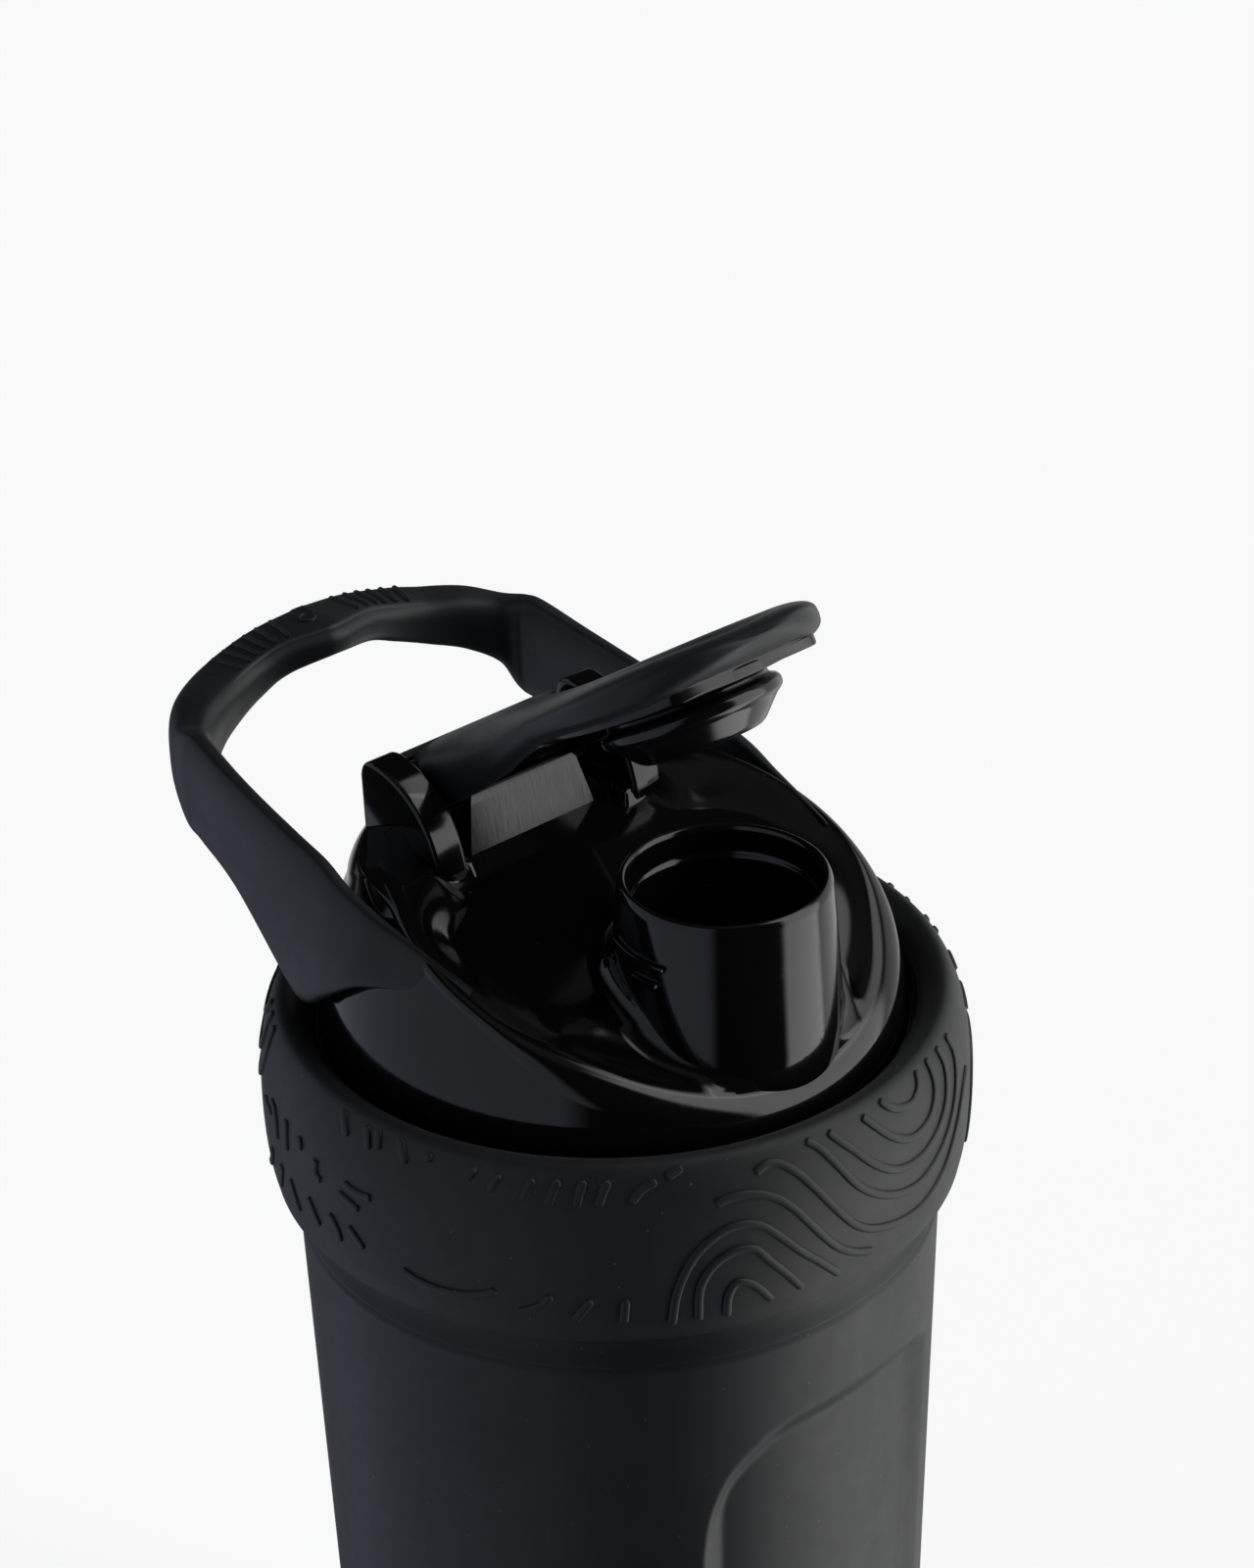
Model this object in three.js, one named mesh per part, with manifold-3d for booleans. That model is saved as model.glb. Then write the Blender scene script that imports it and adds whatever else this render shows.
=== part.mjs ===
// Shaker bottle with a screw collar, a carry loop moulded onto the lid, and a flip cap over
// a round drinking spout. Millimetres, +Z up. The origin is the middle of the base, on the
// bottle's axis. The spout is at the front (-Y), the hinge and the loop at the back (+Y).

import * as THREE from "three";
import { ParametricGeometry } from "three/addons/geometries/ParametricGeometry.js";
import { mergeVertices } from "three/addons/utils/BufferGeometryUtils.js";
import Module from "manifold-3d";

const wasm = await Module();
wasm.setup();

// ---------- driving dimensions ----------

const ROUND = 40; // flats on the big round parts
const GAP = 0.3; // between pieces that touch

// bottle
const FOOT_Z = 0.9; // the cup's own lowest edge, above the pad's sole
const FOOT_R = 38.6;
const BASE_R = 41.3;
const BODY_R = 45.4; // at the top of the tapering wall
const BODY_TOP_Z = 136.5;
const STEP_R = 44.2; // just under the collar
const WALL = 1.9;
const FLOOR_Z = 4.2;
const NECK_R = 42.6;
const NECK_Z = 146;
const MOUTH_Z = 158;
const PAD_R = 33;
const PAD_T = 2;

// grip recess pressed into the front of the bottle
const DISH_DEPTH = 1.5;
const DISH_TOP_Z = 124;
const DISH_BOTTOM_Z = 28;
const DISH_MID_AZ = 4; // degrees from the front
const DISH_HALF_AZ = 30;

// thread between the neck and the collar
const PITCH = 4;
const TURNS = 1.45;
const THREAD_Z = 148;
const THREAD_R = 44.3;
const NUT_R = 43.05;

// collar
const COLLAR_R = 50;
const COLLAR_BOTTOM_Z = 143.8;
const COLLAR_CREST_Z = 171;
const CORE_BORE_R = 44.8;
const CORE_R = 46.9;
const LIP_R = 41.2;
const LIP_Z = 163.3;
const SHELF_Z = 166.2;

// lid
const EDGE_Z = 168; // where the lid's wall comes out of the collar
const LID_R = 40.6; // there
const LID_WALL = 2;
const FLANGE_R = 44.3;
const FLANGE_Z = 160;
const FLANGE_TOP_Z = 163;
const SKIRT_R = 40.1;
const SKIRT_Z = 151.6;
const CREST = [[-41, 1.9], [-30, 9.6], [-20.4, 14.1], [-7, 18.8], [8, 22.8], [17, 24.2], [26, 24], [36, 22.8]];
const DECK = [[-41, 1.4], [-36, 4.4], [-23, 12.2], [-11.5, 16], [2, 18.4], [16, 20.1], [28, 21.6], [36, 22]];

// spout
const SPOUT_Y = -23.3;
const SPOUT_TOP_Z = 197.1;
const SPOUT_R = 14.4;
const BORE_R = 13;

// hinge of the flip cap
const HINGE_Y = 25;
const HINGE_Z = 196;
const OPEN_DEG = 30; // as the cap stands
const EAR_IN_X = 15.2;
const EAR_T = 5.2;
const STUB_R = 1.9;

// flip cap, in its closed place, measured forwards and upwards from the hinge axis
const CAP_MID = HINGE_Y - SPOUT_Y;
const CAP_R = 20.1;
const CAP_NECK_W = 13.9;
const CAP_TOP = [
  [-5.4, 0.4], [-4.4, 3.1], [-2, 4.9], [0, 5.3], [15, 5.3], [30, 6.1], [46, 7.4], [58, 8.1],
  [64, 8], [67, 7.3], [68.4, 6.2],
];
const CAP_HEM = [
  [-5.4, -0.4], [-4.4, -3.1], [-2, -4.9], [0, -5.3], [5, -5], [12, -4.1], [24, -2.2], [40, 1.1],
  [56, 1.6], [62, 2.4], [66, 4], [68.4, 5.8],
];

// carry loop: plan place of its middle line, height of its middle, half its height, half its thickness, lean outwards
const LOOP = [
  [33.7, -9, 186.2, 1.2, 0.4, 31],
  [34.5, -3, 186.4, 2.2, 0.7, 28],
  [35.2, 3, 186.5, 3.4, 1, 24],
  [35.8, 9, 186.3, 5, 1.3, 18],
  [35.8, 15, 185, 7.8, 1.6, 12],
  [35.1, 21, 183.9, 10.8, 1.8, 8],
  [34.2, 27, 184.8, 11, 1.9, 5],
  [32.2, 41, 189.8, 8.6, 1.9, 1],
  [30.9, 50, 192.3, 8.1, 2.1, 0],
  [30.2, 53.2, 192.9, 7.5, 2.5, 0],
  [28.5, 56.2, 194.8, 5.1, 3.2, 0],
  [24.4, 60, 196.6, 4.3, 4.0, 0],
  [18.9, 63, 197.7, 3.7, 4.4, 0],
  [13, 64.5, 199.1, 3.2, 4.5, 0],
  [7.5, 64.6, 200.6, 2.8, 4.8, 0],
  [0, 63.3, 201.9, 2.4, 5.9, 0],
];

const PAD_FROM = 0.4; // along the loop

// ---------- helpers ----------

// A smooth curve's height at x, through [x, height] points in order.
function through(points, x) {
  const last = points.length - 1;
  if (x <= points[0][0]) return points[0][1];
  if (x >= points[last][0]) return points[last][1];
  const i = points.findIndex((p) => p[0] > x) - 1;
  const slope = (k) => {
    const a = points[Math.max(k - 1, 0)];
    const b = points[Math.min(k + 1, last)];
    return (b[1] - a[1]) / (b[0] - a[0]);
  };
  const [x0, y0] = points[i];
  const [x1, y1] = points[i + 1];
  const w = x1 - x0;
  const t = (x - x0) / w;
  const u = 1 - t;
  return (1 + 2 * t) * u * u * y0 + t * u * u * w * slope(i)
    + t * t * (3 - 2 * t) * y1 - t * t * u * w * slope(i + 1);
}

const smooth = THREE.MathUtils.smoothstep;
const mix = THREE.MathUtils.lerp;
const rad = THREE.MathUtils.degToRad;

// A geometry's shared points joined and its flat triangles dropped, so that it is one closed skin.
function closed(geometry) {
  const g = geometry.clone();
  g.deleteAttribute("normal");
  g.deleteAttribute("uv");
  const merged = mergeVertices(g, 1e-3);
  const old = merged.index.array;
  const kept = [];
  for (let i = 0; i < old.length; i += 3) {
    const [a, b, c] = [old[i], old[i + 1], old[i + 2]];
    if (a !== b && b !== c && c !== a) kept.push(a, b, c);
  }
  merged.setIndex(kept);
  return merged;
}

function solid(geometry) {
  const g = closed(geometry);
  const make = (triVerts) => new wasm.Manifold(new wasm.Mesh({
    numProp: 3,
    vertProperties: new Float32Array(g.attributes.position.array),
    triVerts,
  }));
  const faces = new Uint32Array(g.index.array);
  const made = make(faces);
  return made.volume() > 0 ? made : make(faces.reverse());
}

// The one real body of a joined solid, without the slivers that a join can leave.
function main(joined) {
  return joined.decompose().reduce((a, b) => (b.volume() > a.volume() ? b : a));
}

function geometryOf(manifold) {
  const { numProp, vertProperties, triVerts } = manifold.getMesh();
  const places = [];
  for (let i = 0; i < vertProperties.length; i += numProp) {
    places.push(vertProperties[i], vertProperties[i + 1], vertProperties[i + 2]);
  }
  const g = new THREE.BufferGeometry();
  g.setAttribute("position", new THREE.Float32BufferAttribute(places, 3));
  g.setIndex([...triVerts]);
  g.computeVertexNormals();
  return g;
}

// A skin of loops: loop(u) gives the points of one closed loop. The first and last loops are
// closed by shrinking them to their middle, or meet each other where round is true.
function loopSkin(steps, loop, round = false) {
  const loops = Array.from({ length: steps + 1 }, (_, i) => loop(i / steps));
  if (!round) {
    for (const end of [0, steps]) {
      const middle = new THREE.Vector3();
      loops[end].forEach((p) => middle.addScaledVector(p, 1 / loops[end].length));
      const cap = loops[end].map(() => middle.clone());
      if (end) loops.push(cap);
      else loops.unshift(cap);
    }
  } else {
    loops[steps] = loops[0];
  }
  const rows = loops.length - 1;
  const sides = loops[0].length;
  const place = (u, v, target) => {
    target.copy(loops[Math.round(u * rows)][Math.round(v * sides) % sides]);
  };
  return solid(new ParametricGeometry(place, rows, sides));
}

// A body of nearly round section: ring(azimuth) gives a closed [radius, height] outline, which
// may start and end on the axis. Azimuth is 0 at the front and grows towards +X.
function turned(ring, flats = ROUND) {
  return loopSkin(flats, (u) => {
    const az = u * 2 * Math.PI;
    return ring(az).map(([r, z]) => new THREE.Vector3(r * Math.sin(az), -r * Math.cos(az), z));
  }, true);
}

// A helical ridge on a cylinder of radius root, standing out to radius crest.
function ridge(root, crest, z) {
  const steps = Math.round(TURNS * 28);
  return loopSkin(steps, (u) => {
    const az = u * TURNS * 2 * Math.PI;
    const rise = Math.min(1, 8 * u, 8 * (1 - u));
    const out = root + (crest - root) * Math.max(rise, 0.05);
    const sunk = root - 0.4 * Math.sign(crest - root);
    const middle = z + (az / (2 * Math.PI)) * PITCH;
    const corners = [[sunk, -1.05], [out, -0.5], [out, 0.5], [sunk, 1.05]];
    return corners.map(([r, dz]) =>
      new THREE.Vector3(r * Math.sin(az), -r * Math.cos(az), middle + dz));
  });
}

function rod(radius, length, flats = 24) {
  const g = new THREE.CylinderGeometry(radius, radius, length, flats);
  g.rotateZ(Math.PI / 2);
  return g;
}

const group = new THREE.Group();

function add(name, manifold, colour, roughness, parent = group) {
  const material = new THREE.MeshStandardMaterial({ color: colour, roughness, metalness: 0 });
  const mesh = new THREE.Mesh(geometryOf(manifold), material);
  mesh.name = name;
  parent.add(mesh);
  return mesh;
}

// ---------- bottle ----------

// How far the grip recess is pressed in at an azimuth and height: a soft-edged fin, higher
// and sharper towards +X.
function dish(az, z) {
  const deg = THREE.MathUtils.radToDeg(Math.atan2(Math.sin(az), Math.cos(az))) - DISH_MID_AZ;
  const side = deg / DISH_HALF_AZ;
  const top = DISH_TOP_Z - 16 * smooth(-side, -0.1, 1);
  const across = 1 - smooth(Math.abs(side), 0.8, 1.05);
  const along = smooth(z, DISH_BOTTOM_Z - 6, DISH_BOTTOM_Z + 8) * (1 - smooth(z, top - 7, top));
  return DISH_DEPTH * across * along;
}

function bodyR(z) {
  return mix(BASE_R, BODY_R, (z - 7) / (BODY_TOP_Z - 7));
}

function bottleBody() {
  const walls = [22, 32, 60, 92, 110, 117, 124, BODY_TOP_Z];
  const outline = (az) => {
    const outer = walls.map((z) => [bodyR(z) - dish(az, z), z]);
    const inner = walls.map((z) => [bodyR(z) - dish(az, z) - WALL, z]).reverse();
    return [
      [0, PAD_T + GAP], [PAD_R + GAP, PAD_T + GAP], [PAD_R + GAP, FOOT_Z], [FOOT_R, FOOT_Z],
      [40.3, 2.6], [BASE_R - 0.1, 7], ...outer,
      [STEP_R + 0.3, 139], [STEP_R, 140.5], [STEP_R, 144.6], [NECK_R, NECK_Z], [NECK_R, MOUTH_Z - 0.5],
      [NECK_R - 0.5, MOUTH_Z], [NECK_R - 1.5, MOUTH_Z], [NECK_R - 2, MOUTH_Z - 0.5],
      [NECK_R - 2, NECK_Z - 1], [STEP_R - WALL, 142.5], [STEP_R - WALL, 140], ...inner,
      [BASE_R - WALL, 9], [BASE_R - 4, FLOOR_Z + 0.6], [BASE_R - 7, FLOOR_Z], [0, FLOOR_Z],
    ];
  };
  return main(turned(outline).add(ridge(NECK_R, THREAD_R, THREAD_Z)));
}

add("bottle_body", bottleBody(), 0x15181c, 0.62);
add("base_pad", turned(() => [
  [0, 0], [PAD_R - 0.6, 0], [PAD_R, 0.6], [PAD_R, PAD_T], [0, PAD_T],
]), 0x101214, 0.9);

// ---------- collar ----------

function collarCore() {
  const ring = turned(() => [
    [CORE_BORE_R, COLLAR_BOTTOM_Z + 0.6], [CORE_R, COLLAR_BOTTOM_Z + 0.6], [CORE_R, SHELF_Z],
    [LIP_R, SHELF_Z], [LIP_R, LIP_Z], [CORE_BORE_R, LIP_Z],
  ]);
  return main(ring.add(ridge(CORE_BORE_R, NUT_R, THREAD_Z + PITCH / 2)));
}

// The soft ring wraps the core's outside and top, full and round like a tyre.
function collarGrip() {
  const c = CORE_R + GAP;
  return turned(() => [
    [c, COLLAR_BOTTOM_Z + 0.2], [c + 0.7, COLLAR_BOTTOM_Z], [48.5, COLLAR_BOTTOM_Z + 0.6],
    [49.5, 147.6], [49.9, 152], [COLLAR_R, 157], [49.8, 161.6], [49.2, 165.4], [48.3, 168.4],
    [47.3, COLLAR_CREST_Z - 0.7], [46.1, COLLAR_CREST_Z], [44.6, COLLAR_CREST_Z - 0.3], [43.2, 169.7],
    [42, 168.2], [LIP_R + 0.2, SHELF_Z + GAP], [c, SHELF_Z + GAP],
  ]);
}

add("collar_core", collarCore(), 0x0c0d0f, 0.4);
add("collar_grip", collarGrip(), 0x16181b, 0.78);

// ---------- lid ----------

// The lid's outside at an azimuth, from the collar up its wall, over the shoulder and
// down onto the dished deck as far as the axis.
function crown(az) {
  const back = smooth(-Math.cos(az), 0.25, 0.8);
  const lean = mix(0.0172, 0.012, back);
  const shoulder = mix(1.4, 5.5, back);
  const inward = mix(7, 12, smooth(-Math.cos(az), 0, 0.5));
  const high = through(CREST, -37 * Math.cos(az));
  const wallR = (h) => LID_R - lean * h * h;
  const foot = Math.max(high - shoulder, 0.2);
  const rise = high - foot;
  const top = wallR(foot) - shoulder;
  const points = [0, 0.4, 0.75, 1].map((t) => [wallR(foot * t), EDGE_Z + foot * t]);
  for (const a of [30, 60, 90]) {
    points.push([top + shoulder * Math.cos(rad(a)), EDGE_Z + foot + rise * Math.sin(rad(a))]);
  }
  const deck = (r) => EDGE_Z + through(DECK, -r * Math.cos(az));
  for (const t of [0.3, 0.6, 1]) {
    const r = top - inward * t;
    points.push([r, mix(EDGE_Z + high, deck(r), smooth(t, 0, 1))]);
  }
  const start = top - inward;
  for (const t of [0.7, 0.4, 0]) points.push([start * t, deck(start * t)]);
  return points;
}

function lidShell() {
  const shell = turned((az) => {
    const outside = crown(az);
    const inside = outside.slice(1).map(([r, z]) => [Math.max(r - LID_WALL * Math.min(1, r / 20), 0), z - LID_WALL]);
    const down = inside.reverse();
    down[0] = [0, down[0][1]];
    const low = down.map(([r, z]) => [Math.min(r, SKIRT_R - 1.9), Math.max(z, FLANGE_TOP_Z - 1)]);
    return [
      ...low, [SKIRT_R - 1.9, FLANGE_TOP_Z - 1], [SKIRT_R - 1.9, SKIRT_Z], [SKIRT_R - 0.6, SKIRT_Z], [SKIRT_R - 0.2, FLANGE_Z],
      [FLANGE_R, FLANGE_Z], [FLANGE_R, FLANGE_TOP_Z], [LID_R, FLANGE_TOP_Z], ...outside,
    ];
  });
  const spout = solid(new THREE.LatheGeometry([
    [BORE_R - 0.6, 170.5], [16.1, 170.5], [15.8, 176], [15.3, 184], [SPOUT_R + 0.5, 191],
    [SPOUT_R, SPOUT_TOP_Z - 0.7], [SPOUT_R - 0.5, SPOUT_TOP_Z], [BORE_R + 0.3, SPOUT_TOP_Z],
    [BORE_R, SPOUT_TOP_Z - 0.5], [BORE_R, 193], [BORE_R - 0.6, 192.4], [BORE_R - 0.6, 170.5],
  ].map(([r, z]) => new THREE.Vector2(r, z)), 32).rotateX(Math.PI / 2).translate(0, SPOUT_Y, 0));
  const bore = solid(new THREE.CylinderGeometry(BORE_R - 0.6, BORE_R - 0.6, 60, 32)
    .rotateX(Math.PI / 2).translate(0, SPOUT_Y, 190));
  let lid = shell.add(spout).subtract(bore);
  const channel = new THREE.BoxGeometry(29.2, 30, 20).translate(0, 27, EDGE_Z + 31.6);
  lid = lid.subtract(solid(channel));
  for (const side of [-1, 1]) lid = lid.add(ear(side));
  lid = lid.add(stopBlock());
  for (const side of [-1, 1]) {
    const socket = rod(STUB_R + GAP, 3.4).translate(side * (EAR_IN_X + 1.5), HINGE_Y, HINGE_Z);
    lid = lid.subtract(solid(socket));
  }
  return lid;
}

// One hinge ear, a rounded fin: upright at the back and sweeping down to the front.
function ear(side) {
  const s = new THREE.Shape();
  s.moveTo(28, EDGE_Z + 19.5);
  s.lineTo(28.4, EDGE_Z + 31.6);
  s.quadraticCurveTo(28.2, EDGE_Z + 34, 25.6, EDGE_Z + 34.2);
  s.bezierCurveTo(19, EDGE_Z + 34, 13.4, EDGE_Z + 29.5, 11.8, EDGE_Z + 21.6);
  s.lineTo(12.4, EDGE_Z + 18.6);
  const g = new THREE.ExtrudeGeometry(s, { depth: EAR_T, bevelEnabled: false, curveSegments: 7 });
  g.applyMatrix4(new THREE.Matrix4().makeBasis(
    new THREE.Vector3(0, 1, 0), new THREE.Vector3(0, 0, 1), new THREE.Vector3(1, 0, 0)));
  return solid(g.translate(side > 0 ? EAR_IN_X : -EAR_IN_X - EAR_T, 0, 0));
}

// The upright block in front of the hinge barrel, leaning back, wider at its foot.
function stopBlock() {
  const s = new THREE.Shape();
  s.moveTo(-11.6, 0);
  s.lineTo(11.6, 0);
  s.lineTo(9.4, 9.6);
  s.lineTo(-9.4, 9.6);
  const g = new THREE.ExtrudeGeometry(s, { depth: 1.5, bevelEnabled: false });
  g.rotateX(Math.PI / 2 - rad(13));
  return solid(g.translate(0, 17.2, EDGE_Z + 18.4));
}

add("lid_shell", lidShell(), 0x08090a, 0.14);
add("lid_gasket", turned(() => [
  [NECK_R - 2.1, MOUTH_Z + GAP], [NECK_R + 0.9, MOUTH_Z + GAP],
  [NECK_R + 0.9, FLANGE_Z - GAP], [NECK_R - 2.1, FLANGE_Z - GAP],
]), 0x2b2e31, 0.6);

// The straining grid clipped inside the lid's skirt.
function mixingGrid() {
  const circle = (x, y, r, sides) => Array.from({ length: sides }, (_, i) => {
    const a = (i / sides) * 2 * Math.PI;
    return new THREE.Vector2(x + r * Math.cos(a), y + r * Math.sin(a));
  });
  const grid = new THREE.Shape(circle(0, 0, SKIRT_R - 1.9 - GAP, ROUND));
  const rings = [[0, 1], [8.6, 6], [17.2, 12], [25.8, 18]];
  for (const [r, count] of rings) {
    for (let i = 0; i < count; i++) {
      const a = (i / count) * 2 * Math.PI;
      grid.holes.push(new THREE.Path(circle(r * Math.cos(a), r * Math.sin(a), 3, 6)));
    }
  }
  const g = new THREE.ExtrudeGeometry(grid, { depth: 1.6, bevelEnabled: false });
  return solid(g.translate(0, 0, SKIRT_Z + 0.6));
}

add("mixing_grid", mixingGrid(), 0x202327, 0.5);

// ---------- carry loop ----------

// The loop's section at u along it, from the -X root round the back to the +X root.
function loopSection(u) {
  const side = u < 0.5 ? -1 : 1;
  const t = (1 - Math.abs(2 * u - 1)) * (LOOP.length - 1);
  const column = (k) => through(LOOP.map((row, i) => [i, row[k]]), t);
  const [x, y, z, halfHigh, halfThick, lean] = [0, 1, 2, 3, 4, 5].map(column);
  const step = 0.02;
  const ahead = [0, 1].map((k) => through(LOOP.map((row, i) => [i, row[k]]), Math.min(t + step, LOOP.length - 1)));
  const behind = [0, 1].map((k) => through(LOOP.map((row, i) => [i, row[k]]), Math.max(t - step, 0)));
  const run = new THREE.Vector2(ahead[0] - behind[0], ahead[1] - behind[1]).normalize();
  if (t > LOOP.length - 1 - step) run.set(-1, 0);
  const out = new THREE.Vector3(run.y * side, -run.x, 0);
  const up = new THREE.Vector3(0, 0, 1).addScaledVector(out, -Math.tan(rad(lean)));
  return { middle: new THREE.Vector3(x * side, y, z), out, up, halfHigh, halfThick };
}

function roundedLoop({ middle, out, up, halfHigh, halfThick }, sides = 12) {
  return Array.from({ length: sides }, (_, i) => {
    const a = (i / sides) * 2 * Math.PI;
    const c = Math.cos(a);
    const s = Math.sin(a);
    const across = halfThick * Math.sign(c) * Math.abs(c) ** 0.6;
    const tall = halfHigh * Math.sign(s) * Math.abs(s) ** 0.6;
    return middle.clone().addScaledVector(out, across).addScaledVector(up, tall);
  });
}

// The loop's arms run into the lid's wall and shoulder, so their roots are cut to its form.
function carryLoop() {
  const form = turned((az) => {
    const wall = crown(az).slice(0, 7).map(([r, z], i) => [r + GAP, i > 3 ? z + GAP : z]);
    return [[0, EDGE_Z - 4], [LID_R + GAP, EDGE_Z - 4], ...wall, [0, wall[6][1]]];
  });
  return main(loopSkin(56, (u) => roundedLoop(loopSection(u))).subtract(form));
}

add("carry_loop", carryLoop(), 0x14171b, 0.7);

// The soft pad along the top of the loop's bar, following its crown.
function loopPad() {
  const bow = (u, grow, from, to) => {
    const { middle, out, up, halfHigh, halfThick } = loopSection(u);
    return Array.from({ length: 6 }, (_, i) => {
      const a = rad(mix(from, to, i / 5));
      const across = (halfThick + grow) * Math.cos(a);
      const tall = (halfHigh + grow) * Math.abs(Math.sin(a)) ** 0.6;
      return middle.clone().addScaledVector(out, across).addScaledVector(up, tall);
    });
  };
  return loopSkin(16, (k) => {
    const u = mix(PAD_FROM, 1 - PAD_FROM, k);
    return [...bow(u, 0.9, 42, 138), ...bow(u, GAP, 138, 42)];
  });
}

add("loop_pad", loopPad(), 0x14171b, 0.75);

// ---------- flip cap ----------

const cap = new THREE.Group();
cap.position.set(0, HINGE_Y, HINGE_Z);
cap.rotation.x = -rad(OPEN_DEG);
group.add(cap);

// Half the cap's width at a distance forwards of the hinge: a neck that opens into a round disc.
function capHalf(s) {
  const disc = Math.sqrt(Math.max(CAP_R ** 2 - (s - CAP_MID) ** 2, 0));
  if (s > CAP_MID) return disc;
  return mix(CAP_NECK_W, CAP_R, smooth(s, 8, CAP_MID));
}

// The cap's outside: a rounded hood, deeper near the hinge. shrink brings its sides in, and
// square makes its corners sharper.
function hood(from, to, topOf, hemOf, shrink, steps = 20, square = 1) {
  return loopSkin(steps, (u) => {
    const s = mix(from, to, u < 0.5 ? u : 1 - 0.5 * (2 * (1 - u)) ** 1.6);
    const half = Math.max(capHalf(s) - shrink, 0.2);
    const top = topOf(s);
    const hem = hemOf(s);
    return Array.from({ length: 16 }, (_, i) => {
      const a = (i / 16) * 2 * Math.PI;
      const c = Math.cos(a);
      const n = Math.sin(a);
      const x = half * Math.sign(c) * Math.abs(c) ** (0.45 * square);
      const h = mix(hem, top, 0.5 + 0.5 * Math.sign(n) * Math.abs(n) ** (0.7 * square));
      return new THREE.Vector3(x, -s, h);
    });
  });
}

const capTop = (s) => through(CAP_TOP, s);
const capHem = (s) => through(CAP_HEM, s);
const ceiling = (s) => mix(2.6, 3.5, smooth(s, 8, 30));

function capCover() {
  const outside = hood(CAP_TOP[0][0], CAP_MID + CAP_R - 0.02, capTop, capHem, 0);
  const hollow = hood(2.6, CAP_MID + 16.4, ceiling, () => -9, 1.6, 14, 0.15);
  const barrel = solid(rod(4.3, 40));
  const front = solid(new THREE.BoxGeometry(23, 8, 9).translate(0, -4.4, -4.4));
  const fingerDish = solid(new THREE.SphereGeometry(1, 24, 14).scale(15, 16.4, 3.9)
    .translate(0, -CAP_MID - 0.5, 9));
  return main(outside.subtract(hollow).subtract(barrel).subtract(front).subtract(fingerDish));
}

function flipCap() {
  const plate = hood(4.6, CAP_MID + 14.4, (s) => ceiling(s) - GAP, (s) => ceiling(s) - 1.9, 2, 14, 0.15);
  const disc = solid(new THREE.CylinderGeometry(14.6, 14.6, 1.6, 40).rotateX(Math.PI / 2)
    .translate(0, -CAP_MID, 2.2));
  const barrel = solid(rod(4, 28.4));
  const web = solid(new THREE.BoxGeometry(22, 6, 1.8).translate(0, -4, 1.3));
  const stubs = solid(rod(STUB_R, 2 * EAR_IN_X + 5, 16));
  const socket = solid(new THREE.CylinderGeometry(9, 9, 4, 32).rotateX(Math.PI / 2)
    .translate(0, -CAP_MID, 0.2));
  return plate.add(disc).add(barrel).add(web).add(stubs).add(socket);
}

// The seal that plugs the spout: a stepped, tapering silicone cup pressed over the cap's boss.
function spoutPlug() {
  const b = 9 + GAP;
  return solid(new THREE.LatheGeometry([
    [b, 1.1], [11.2, 1.1], [11.2, 0.2], [12.6, -0.4], [12.6, -1.9], [11.6, -2.4], [8.8, -5.4],
    [7.9, -5.8], [0, -5.8], [0, -2.1], [b, -2.1], [b, 1.1],
  ].map(([r, z]) => new THREE.Vector2(r, z)), 32).rotateX(Math.PI / 2).translate(0, -CAP_MID, 0));
}

add("flip_cap", flipCap(), 0x090a0c, 0.2, cap);
add("cap_cover", capCover(), 0x14171b, 0.62, cap);
add("spout_plug", spoutPlug(), 0x0b0c0e, 0.25, cap);

export default group;
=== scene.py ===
import math

import bmesh
import bpy
import numpy as np
from mathutils import Matrix, Vector


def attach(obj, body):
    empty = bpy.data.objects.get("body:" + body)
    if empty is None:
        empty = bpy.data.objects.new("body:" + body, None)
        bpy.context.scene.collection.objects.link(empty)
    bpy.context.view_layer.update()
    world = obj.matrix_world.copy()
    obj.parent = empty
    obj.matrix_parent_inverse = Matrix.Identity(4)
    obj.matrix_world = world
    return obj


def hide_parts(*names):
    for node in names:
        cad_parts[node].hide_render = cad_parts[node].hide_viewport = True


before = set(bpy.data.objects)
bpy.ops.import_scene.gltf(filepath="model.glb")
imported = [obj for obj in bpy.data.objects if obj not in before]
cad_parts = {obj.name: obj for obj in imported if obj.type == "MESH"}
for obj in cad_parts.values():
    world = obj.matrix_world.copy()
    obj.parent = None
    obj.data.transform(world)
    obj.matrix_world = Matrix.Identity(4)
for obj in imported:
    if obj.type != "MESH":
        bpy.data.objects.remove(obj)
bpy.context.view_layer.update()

# ---------- Bottle body ----------
# The cup of the bottle: one thin polypropylene moulding, a little wider at the top, with a grip
# recess pressed into its front and a one-and-a-half-turn thread on its neck. Outside it is
# sprayed with a matte soft-touch coat, which catches lint and fine dust.

MM = 0.001
ROUND = 720
EDGE_Z = 168.0
BODY_Z = (7.0, 136.5)
BODY_R = (41.3, 45.4)
WALL = 1.9
NECK_R = 42.6
DISH_DEPTH = 1.5
DISH_SIDES = (-27.6, 31.0)
DISH_LOW_Z = 28.0
DISH_TOP = [
    (-27.6, 99.5), (-26.8, 107.4), (-24.4, 113.6), (-21.6, 117.4), (-17, 120.6), (-12, 122.9),
    (-1.4, 123.9), (12, 123.8), (23.4, 122.3), (33, 119.4),
]
THREAD = {"pitch": 4.0, "turns": 1.45, "start": 148.0, "crest": 44.3}


def smooth(x, low, high):
    t = np.clip((x - low) / (high - low), 0, 1)
    return t * t * (3 - 2 * t)


def mix(a, b, t):
    return a + (b - a) * t


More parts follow.
